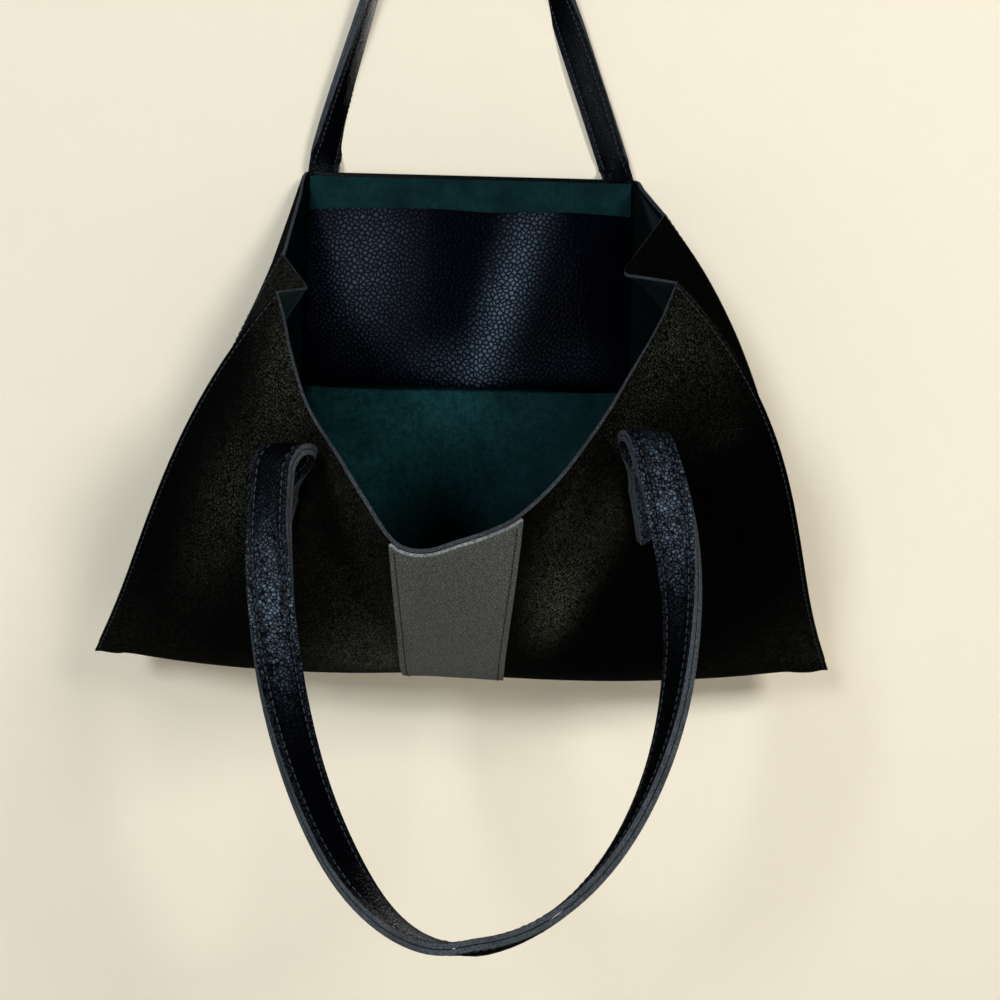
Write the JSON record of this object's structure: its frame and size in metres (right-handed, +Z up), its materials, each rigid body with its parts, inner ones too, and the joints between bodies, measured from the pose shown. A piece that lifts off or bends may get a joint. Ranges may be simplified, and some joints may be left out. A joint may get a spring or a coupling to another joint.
{
  "type": "leather tote bag",
  "caption": "Soft leather tote with folded side gussets, a grey centre patch, a hanging slip pocket and two strap handles, one over a hook and one folded down.",
  "frame": {"origin": "where the rear handle rests on its hook: the middle of the strap's underside at the top of the loop", "axes": "+Z up, +Y towards the wall behind the bag, +X to the right of a viewer who faces the bag's front"},
  "size_m": [0.4611, 0.2585, 0.6953],
  "materials": {
    "black_leather": "pebbled, slight sheen",
    "grey_leather": "fine grain, matt",
    "black_thread": "matt"
  },
  "bodies": {
    "rear_handle": {"rear_handle_face": "black_leather", "rear_handle_left_stitches": "black_thread", "rear_handle_lining": "black_leather", "rear_handle_right_stitches": "black_thread"},
    "bag": {"body_panel": "black_leather", "centre_patch": "grey_leather", "front_left_tab_face": "black_leather", "front_left_tab_lining": "black_leather", "front_left_tab_stitches": "black_thread", "front_right_tab_face": "black_leather", "front_right_tab_lining": "black_leather", "front_right_tab_stitches": "black_thread", "left_front_seam_stitches": "black_thread", "left_gusset": "black_leather", "left_rear_seam_stitches": "black_thread", "patch_left_stitches": "black_thread", "patch_right_stitches": "black_thread", "rear_left_tab_face": "black_leather", "rear_left_tab_lining": "black_leather", "rear_left_tab_stitches": "black_thread", "rear_right_tab_face": "black_leather", "rear_right_tab_lining": "black_leather", "rear_right_tab_stitches": "black_thread", "right_front_seam_stitches": "black_thread", "right_gusset": "black_leather", "right_rear_seam_stitches": "black_thread"},
    "front_handle": {"front_handle_face": "black_leather", "front_handle_left_stitches": "black_thread", "front_handle_lining": "black_leather", "front_handle_right_stitches": "black_thread"},
    "pocket": {"pocket_left_stitches": "black_thread", "pocket_right_stitches": "black_thread", "slip_pocket": "black_leather"}
  },
  "joints": [
    {"name": "bag_swing", "type": "hinge", "parent": "rear_handle", "child": "bag", "pos_m": [0.0125, -0.00495, -0.259], "axis": [-1, 0, 0], "range_deg": [0, 110]},
    {"name": "front_handle_swing", "type": "hinge", "parent": "bag", "child": "front_handle", "pos_m": [0.0216, -0.22317, -0.45243], "axis": [-0.9981, 0.0072, -0.0613], "range_deg": [0, 105]},
    {"name": "pocket_swing", "type": "hinge", "parent": "bag", "child": "pocket", "pos_m": [0.0125, -0.0056, -0.268], "axis": [-1, 0, 0], "range_deg": [0, 20]}
  ]
}
